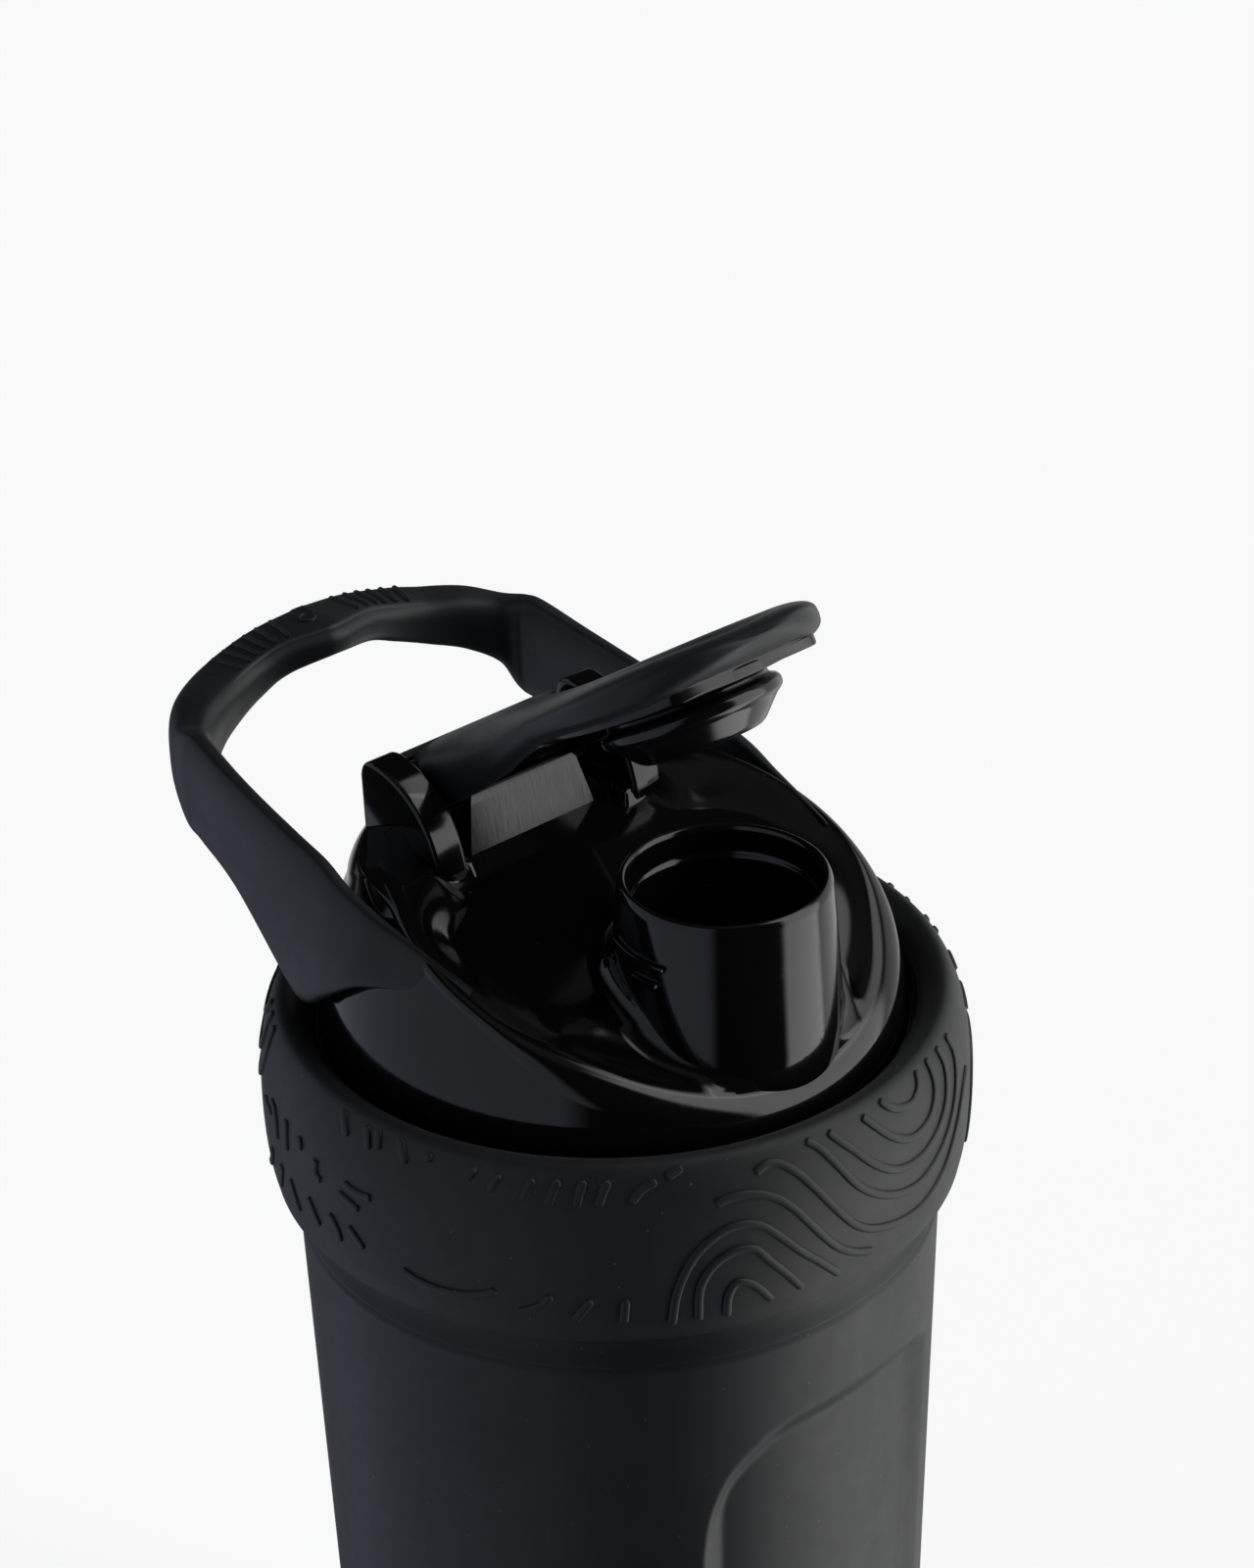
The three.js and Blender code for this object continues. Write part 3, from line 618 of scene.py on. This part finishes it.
def bezier(points, steps):
    """Points along a Bezier curve, without its last one."""
    t = np.linspace(0, 1, steps, endpoint=False)[:, None]
    points = [np.array(p, float) for p in points]
    while len(points) > 1:
        points = [a * (1 - t) + b * t for a, b in zip(points, points[1:])]
    return points[0]


def ear(side):
    up = EDGE_Z
    outline = np.concatenate([
        bezier([(28, up + 19.5), (28.2, up + 25), (28.4, up + 31.4)], 24),
        bezier([(28.4, up + 31.4), (28.3, up + 34), (25.6, up + 34.2)], 18),
        bezier([(25.6, up + 34.2), (19, up + 34), (13.4, up + 29.5), (11.8, up + 21.6)], 60),
        bezier([(11.8, up + 21.6), (11.9, up + 20), (12.4, up + 18.6)], 10),
        bezier([(12.4, up + 18.6), (28, up + 19.5)], 20),
    ])
    low, high = sorted(side * x for x in EAR_X)
    return slab(outline, low, high)


def stop_plate():
    lean = math.radians(13)
    rows = []
    for h in np.linspace(0, 9.6, 14):
        half = mix(11.6, 9.4, h / 9.6)
        soft = 0.35 * (1 - math.sqrt(1 - max(0, (h - 9.0) / 0.6) ** 2)) if h > 9.0 else 0
        xs = np.linspace(-half + soft, half - soft, 40)
        front = np.column_stack([xs, np.full(40, -0.75 + soft)])
        back = np.column_stack([xs[::-1], np.full(40, 0.75 - soft)])
        flat = np.concatenate([front, back])
        y = 16.45 + flat[:, 1] * math.cos(lean) + h * math.sin(lean)
        z = EDGE_Z + 18.4 + h * math.cos(lean) + flat[:, 1] * -math.sin(lean)
        rows.append(np.column_stack([flat[:, 0], y, z]))
    return loft(rows)


piece("hinge_ears", [ear(1), ear(-1)], "lid", lid_gloss, sharp=50)

rubbed = Finish("rubbed_black", {"Specular IOR Level": 0.5})
lines = rubbed.noise(1.0, 3.0, (5.0, 0.25, 0.25))
cloud = rubbed.noise(0.16, 2.0)
rubbed.varies("Base Color", rubbed.blend((0.004, 0.004, 0.0045, 1), (0.012, 0.012, 0.0125, 1), lines))
rubbed.varies("Roughness", 0.12 + lines.step(0.35, 0.75) * 0.16 + cloud * 0.08)
rubbed.bump(lines, 0.006)
piece("stop_plate", [stop_plate()], "lid", rubbed.material)

# ---------- Carry loop ----------
# A fixed handle moulded onto the lid: two flat arms that sweep back from the lid's sides, and a
# bar across the back, thickest in its middle, where the fingers pull. It is coated soft-touch.
# A softer strip with short raised dashes and a round gate mark lies along the top of the bar.

LOOP = np.array([
    [32.6, -9, 186.0, 0.6, 0.2, 31], [34.0, -3, 186.3, 1.8, 0.5, 28], [35.0, 3, 186.5, 3.2, 0.8, 24],
    [35.8, 9, 186.3, 5.0, 1.3, 18], [35.8, 15, 185.0, 7.8, 1.6, 12], [35.1, 21, 183.9, 10.8, 1.8, 8],
    [34.2, 27, 184.8, 11.0, 1.9, 5],
    [32.2, 41, 189.8, 8.6, 1.9, 1], [30.9, 50, 192.3, 8.1, 2.1, 0], [30.2, 53.2, 192.9, 7.5, 2.5, 0],
    [28.5, 56.2, 194.8, 5.1, 3.2, 0], [24.4, 60, 196.6, 4.3, 4.0, 0], [18.9, 63, 197.7, 3.7, 4.4, 0],
    [13, 64.5, 199.1, 3.2, 4.5, 0], [7.5, 64.59, 200.6, 2.8, 4.8, 0], [0, 63.3, 201.9, 2.4, 5.9, 0],
])


def loop_frame(u):
    """Middle, outward and upward directions, and half sizes at places u along the loop."""
    u = np.atleast_1d(np.asarray(u, float))
    last = len(LOOP) - 1
    side = np.where(u < 0.5, -1.0, 1.0)
    t = (1 - np.abs(2 * u - 1)) * last
    row = np.arange(last + 1)

    def column(k, at):
        return through(np.column_stack([row, LOOP[:, k]]), at)

    x, y, z, tall, thick, lean = (column(k, t) for k in range(6))
    step = 0.02
    dx = column(0, np.minimum(t + step, last)) - column(0, np.maximum(t - step, 0))
    dy = column(1, np.minimum(t + step, last)) - column(1, np.maximum(t - step, 0))
    at_middle = t > last - step
    dx, dy = np.where(at_middle, -1, dx), np.where(at_middle, 0, dy)
    run = np.hypot(dx, dy)
    out = np.stack([dy / run * side, -dx / run, 0 * dx], -1)
    up = np.array([0, 0, 1.0]) - out * np.tan(np.radians(lean))[:, None]
    return np.stack([x * side, y, z], -1), out, up, tall, thick


def loop_skin(u, angles, grow=0.0, power=0.6):
    """Points round the loop's section at each u, as far out of it as grow."""
    middle, out, up, tall, thick = loop_frame(u)
    c, s = np.cos(angles)[None, :], np.sin(angles)[None, :]
    across = (thick[:, None] + grow) * np.sign(c) * np.abs(c) ** power
    high = (tall[:, None] + grow) * np.sign(s) * np.abs(s) ** power
    return middle[:, None] + out[:, None] * across[..., None] + up[:, None] * high[..., None]


def even_angles(count):
    """Angles that spread evenly over a rounded oblong rather than bunch at its corners."""
    a = np.linspace(0, 2 * np.pi, count, endpoint=False)
    return a - 0.11 * np.sin(4 * a)


def loop_dashes():
    """Short raised dashes across the top of the bar, and a ring where the soft strip was fed."""
    made = []
    for u in [*np.linspace(0.416, 0.474, 6), *np.linspace(0.526, 0.584, 6)]:
        angles = np.radians(np.linspace(66, 114, 14))
        edge = loop_skin([u], angles, 0.22)[0]
        deep = loop_skin([u], angles, 0.0)[0]
        normal = edge - deep
        normal /= np.linalg.norm(normal, axis=1)[:, None]
        made.append(rib(edge - normal * 0.05, normal, 0.75, 0.38))
    middle, out, up, tall, thick = (v[0] for v in loop_frame([0.4935]))
    along = np.cross(out, up)
    a = np.linspace(0, 2 * np.pi, 48, endpoint=False)
    top = middle + up * (tall + 0.24)
    loops = [top + (out * np.cos(t) + along * np.sin(t)) * 1.15 for t in a]
    ring = []
    for t, centre in zip(a, loops):
        ray = out * math.cos(t) + along * math.sin(t)
        ring.append([centre + ray * 0.2 * math.cos(k) + up * 0.22 * math.sin(k)
                     for k in np.linspace(0, 2 * np.pi, 10, endpoint=False)])
    made.append(loft(ring, ring=True))
    return made


def loop_strip():
    """The soft strip: a thin skin over the top of the bar that fades at its edges and ends."""
    us = np.linspace(0.39, 0.61, 160)
    angles = np.radians(np.linspace(48, 132, 26))
    fade = smooth(np.minimum(us - us[0], us[-1] - us), 0, 0.03)[:, None] * smooth(
        np.minimum(angles - angles[0], angles[-1] - angles), 0, 0.22)[None, :]
    low = loop_skin(us, angles, -0.4)
    high = loop_skin(us, angles, 0.22)
    base = loop_skin(us, angles, -0.05)
    top = base + (high - base) * fade[..., None]
    return loft(np.concatenate([top, low[:, ::-1]], 1))


loop_coat = soft_touch("loop_soft_touch", (0.0060, 0.0072, 0.0092), (0.0078, 0.0092, 0.0115), 0.46, 0.3)
arms = loft(loop_skin(np.linspace(0, 1, 420), even_angles(72)))
piece("loop_handle", [arms], "lid", loop_coat, ["carry_loop"])
piece("loop_top_strip", [loop_strip(), *loop_dashes()], "lid", loop_coat, ["loop_pad"])

# ---------- Flip cap cover ----------
# The matte outside of the flip cap: a hood that starts as a sleeve round the hinge barrel,
# runs forward as a neck and opens into a round disc with a dished place for the finger and
# a thin tip to lift it by. It is snapped and bonded over the glossy plate below it.

CAP_MID = 48.3
CAP_R = 20.1
CAP_NECK = 13.9
CAP_OPEN = math.radians(30)
CAP_TOP = [(-5.4, 0.4), (-4.4, 3.1), (-2, 4.9), (0, 5.3), (15, 5.3), (30, 6.1), (46, 7.4), (58, 8.04),
           (64, 7.92), (67, 7.24), (68.4, 6.14)]
CAP_HEM = [(-5.4, -0.4), (-4.4, -3.1), (-2, -4.9), (0, -5.3), (5, -5), (12, -4.1), (24, -2.2),
           (40, 1.1), (56, 1.6), (62, 2.4), (66, 4), (68.4, 5.8)]
COVER_WALL = 1.8
BARREL_R = 4.0
FINGER_WIDE, FINGER_LONG = 15.0, 16.4
FINGER_RIM, FINGER_DEEP = 9.0, 3.9


def on_cap(points):
    """From across, forwards and up of the hinge to where the half-open cap stands."""
    points = np.asarray(points, float)
    x, s, h = points[..., 0], points[..., 1], points[..., 2]
    c, n = math.cos(CAP_OPEN), math.sin(CAP_OPEN)
    return np.stack([HINGE.x + x, HINGE.y - s * c + h * n, HINGE.z + s * n + h * c], -1)


def cap_half(s):
    disc = np.sqrt(np.maximum(CAP_R ** 2 - (s - CAP_MID) ** 2, 0))
    return np.where(s > CAP_MID, disc, mix(CAP_NECK, CAP_R, smooth(s, 8, CAP_MID)))


def ceiling(s):
    return mix(2.6, 3.5, smooth(s, 8, 30))


def cap_hood():
    p = np.linspace(0, 1, 260)
    s = mix(0.0, CAP_MID + CAP_R - 0.03, np.where(p < 0.5, p, 1 - 0.5 * (2 * (1 - p)) ** 1.8))[:, None]
    half = cap_half(s)
    q = np.linspace(-1, 1, 121)[None, :]
    q = np.sin(q * np.pi / 2) * 0.6 + q * 0.4
    x = q * half
    bulge = np.sqrt(np.clip(1 - np.abs(q) ** 4.444, 0, 1)) ** 0.7
    top, hem = through(CAP_TOP, s), through(CAP_HEM, s)
    over = mix(hem, top, 0.5 + 0.5 * bulge)
    under = mix(hem, top, 0.5 - 0.5 * bulge)
    oval = (x / FINGER_WIDE) ** 2 + ((s - CAP_MID - 0.5) / FINGER_LONG) ** 2
    dished = FINGER_RIM - FINGER_DEEP * np.sqrt(np.clip(1 - oval, 0, 1)) + np.maximum(oval - 1, 0) * 9
    blunt = 0.35
    soft = -blunt * np.log(np.exp(-over / blunt) + np.exp(-dished / blunt))
    over = np.where(np.abs(q) < 0.97, soft, over)
    from_rim = CAP_R - np.hypot(x, s - CAP_MID)
    inset = np.where(s > CAP_MID, from_rim, half - np.abs(x)) - COVER_WALL
    inset = np.minimum(inset, CAP_MID + 16.4 - s)
    roof = np.maximum(ceiling(s), np.sqrt(np.clip(4.3 ** 2 - s ** 2, 0, None)))
    under = mix(under, np.minimum(roof, over - 0.9), smooth(inset, 0, 0.6))
    shape = np.broadcast_shapes(x.shape, s.shape)
    grids = [np.stack([x, np.broadcast_to(s, shape), h], -1) for h in (over, under)]
    return loft(on_cap(np.concatenate([grids[0], grids[1][:, ::-1]], 1)))


def hinge_sleeve():
    """The part of the cover that wraps the back of the barrel and ends below it in a blunt beak."""
    a = np.radians(np.linspace(84, 292, 60))
    outer = np.column_stack([5.35 * np.cos(a), 5.3 * np.sin(a)])
    inner = np.column_stack([4.3 * np.cos(a), 4.3 * np.sin(a)])[::-1]
    beak = np.array([[2.6, -4.9], [2.75, -4.55], [2.3, -4.0]])
    outline = np.concatenate([outer, beak, inner])
    loops = []
    for x, shrink in ((-13.9, 0.93), (-13.75, 0.97), (-13.4, 0.99), (-12.8, 1), (12.8, 1), (13.4, 0.99),
                      (13.75, 0.97), (13.9, 0.93)):
        ring = outline * mix(1, shrink, 0.3)
        loops.append(np.column_stack([np.full(len(ring), x), ring]))
    return loft(on_cap(loops))


cap_coat = soft_touch("cap_soft_touch", (0.0062, 0.0074, 0.0094), (0.0080, 0.0094, 0.0118), 0.42, 0.3)
piece("cap_hood", [cap_hood(), hinge_sleeve()], "cap", cap_coat, ["cap_cover"], sharp=50)

# ---------- Flip cap plate ----------
# The glossy inside of the flip cap: a plate that fills the hood's hollow, a round disc with
# a boss for the seal, and the hinge barrel with a stub pin at each end.


def cap_lathe(outline, sides=192, s=CAP_MID):
    """A closed (r, h) outline turned about the cap's own upright axis."""
    points, quads = turned(outline, sides)
    return on_cap(np.stack([points[:, 0], s + points[:, 1], points[:, 2]], -1)), quads


def across_bar(outline, sides=96):
    """A (r, x) outline turned about the hinge axis."""
    a = np.linspace(0, 2 * np.pi, sides, endpoint=False)
    loops = [np.column_stack([np.full(sides, x), r * np.cos(a), r * np.sin(a)]) for r, x in outline]
    return loft(on_cap(loops))


def plate():
    p = np.linspace(0, 1, 140)
    s = mix(4.7, CAP_MID + 14.4, p)
    half = cap_half(s) - 2.1
    rows = []
    for si, hi in zip(s, half):
        end = min(si - 4.7, CAP_MID + 14.4 - si)
        hi = hi - 0.5 * max(0, 1 - end / 0.6) ** 2
        top, low = ceiling(si) - 0.3, ceiling(si) - 1.9
        ease = 0.35
        corner = rounded([(-hi, low), (hi, low), (hi, top), (-hi, top)], ease)
        rows.append(np.column_stack([corner[:, 0], np.full(len(corner), si), corner[:, 1]]))
    return loft(on_cap(rows))


def web():
    rows = []
    for s in np.linspace(1.5, 7, 12):
        corner = rounded([(-11, 0.45), (11, 0.45), (11, 2.15), (-11, 2.15)], 0.4)
        rows.append(np.column_stack([corner[:, 0], np.full(len(corner), s), corner[:, 1]]))
    return loft(on_cap(rows))


disc = rounded([(0, 1.4), (14.6, 1.4), (14.6, 3.0), (0, 3.0)], 0.35)
boss_ring = rounded([(0, -1.8), (9, -1.8), (9, 2.2), (0, 2.2)], 0.3)
barrel = [(3.6, -14.2), (BARREL_R - 0.1, -14.1), (BARREL_R, -13.7), (BARREL_R, 13.7), (BARREL_R - 0.1, 14.1),
          (3.6, 14.2)]
stub = [(1.5, -17.7), (1.8, -17.6), (1.9, -17.3), (1.9, 17.3), (1.8, 17.6), (1.5, 17.7)]
cap_gloss = gloss("cap_gloss", 0.10, 0.06, 0.004)
cap_parts = [plate(), web(), cap_lathe(disc), cap_lathe(boss_ring), across_bar(barrel), across_bar(stub, 48)]
piece("cap_plate", cap_parts, "cap", cap_gloss, ["flip_cap"])

# ---------- Spout plug ----------
# The seal that stops the spout: a black silicone cup pressed over the boss under the cap. A
# full band seals against the rim, and the part below it tapers so that it finds the bore.


def plug():
    outline = [
        (9.3, 1.1), (11.2, 1.1), (11.25, 0.25), (12.25, -0.15), (12.6, -0.7), (12.6, -1.7),
        (12.0, -2.25), (11.5, -2.6), (8.9, -5.3), (8.0, -5.8), (0, -5.8), (0, -2.1), (9.3, -2.1),
    ]
    return cap_lathe(rounded(outline, 0.45))


seal = gloss("plug_seal", 0.13, 0.04, 0.005)
piece("plug", [plug()], "cap", seal, ["spout_plug"])

# ---------- Floor, light and camera ----------
# A plain pale floor and a plain soft studio: a dim wide card at the left, a brighter one at the
# right front with two more beyond it, one low behind, and a faint one overhead. The camera is a
# long lens looking down at the lid.

PALE = (0.922, 0.922, 0.922, 1)


def studio_floor():
    mesh = bpy.data.meshes.new("floor")
    far = 6.0
    mesh.from_pydata([(-far, -far, 0), (far, -far, 0), (far, far, 0), (-far, far, 0)], [], [(0, 1, 2, 3)])
    floor = bpy.data.objects.new("floor", mesh)
    bpy.context.scene.collection.objects.link(floor)
    material = bpy.data.materials.new("pale_floor")
    f = Nodes(material)
    f.tree.nodes.clear()
    glow = f.node("ShaderNodeEmission", {}, {"Color": PALE, "Strength": 0.887})
    matte = f.node("ShaderNodeBsdfDiffuse", {}, {"Color": (0.30, 0.30, 0.30, 1)})
    both = f.node("ShaderNodeAddShader", {}, {0: glow, 1: matte})
    output = f.tree.nodes.new("ShaderNodeOutputMaterial")
    f.feed(output.inputs["Surface"], both)
    mesh.materials.append(material)
    floor.visible_glossy = False
    floor.visible_diffuse = False
    floor.visible_shadow = False


def studio_sky():
    world = bpy.data.worlds.new("studio")
    bpy.context.scene.world = world
    f = Nodes(world)
    f.tree.nodes.clear()
    look = f.node("ShaderNodeTexCoord", out="Generated")
    apart = f.tree.nodes.new("ShaderNodeSeparateXYZ")
    f.feed(apart.inputs[0], look)
    x, y, z = (Wire(f, apart.outputs[k]) for k in range(3))
    turn = x.maths("ARCTAN2", x, 0 - y) * (180 / math.pi)
    lift = z.maths("ARCSINE", z) * (180 / math.pi)

    def card(az, half_az, low, high, soft=6):
        off = turn - az
        off = x.maths("ABSOLUTE", x.maths("WRAP", off, 180.0, -180.0))
        across = off.step(half_az + soft, half_az - soft)
        return across * lift.step(low - soft, low + soft) * lift.step(high + soft, high - soft)

    left = card(-118, 62, -62, 42, 7)
    right = card(42, 24, -58, 66, 4)
    far_right = card(92, 26, -50, 34, 8)
    high_right = card(82, 22, 44, 66, 5)
    behind = card(143, 20, -40, -6, 7)
    overhead = lift.step(60, 74)
    light = left * 0.42 + right * 2.1 + far_right * 0.75 + high_right * 1.5 + behind * 0.5
    light = light + overhead * 0.10 + 0.012
    colour = f.blend((1, 1, 1, 1), (0.86, 0.94, 1.14, 1), left.step(0.2, 0.8))
    seen = f.node("ShaderNodeLightPath", out="Is Camera Ray")
    studio = f.node("ShaderNodeBackground", {}, {"Color": colour, "Strength": light})
    plain = f.node("ShaderNodeBackground", {}, {"Color": PALE})
    shown = f.node("ShaderNodeMixShader", {}, {0: seen, 1: studio, 2: plain})
    output = f.tree.nodes.new("ShaderNodeOutputWorld")
    f.feed(output.inputs["Surface"], shown)


def camera():
    data = bpy.data.cameras.new("camera")
    data.lens = 101.25
    data.sensor_width = 36
    data.clip_start, data.clip_end = 0.02, 40
    cam = bpy.data.objects.new("camera", data)
    bpy.context.scene.collection.objects.link(cam)
    right = Vector((0.74632, -0.66516, -0.02437))
    up = Vector((0.33662, 0.34562, 0.87594))
    away = right.cross(up)
    turn = Matrix((right, up, away)).transposed().to_4x4()
    cam.matrix_world = Matrix.Translation((-0.34072, -0.39684, 0.48892)) @ turn
    bpy.context.scene.camera = cam


studio_floor()
studio_sky()
camera()
bpy.context.scene.view_settings.view_transform = "Standard"
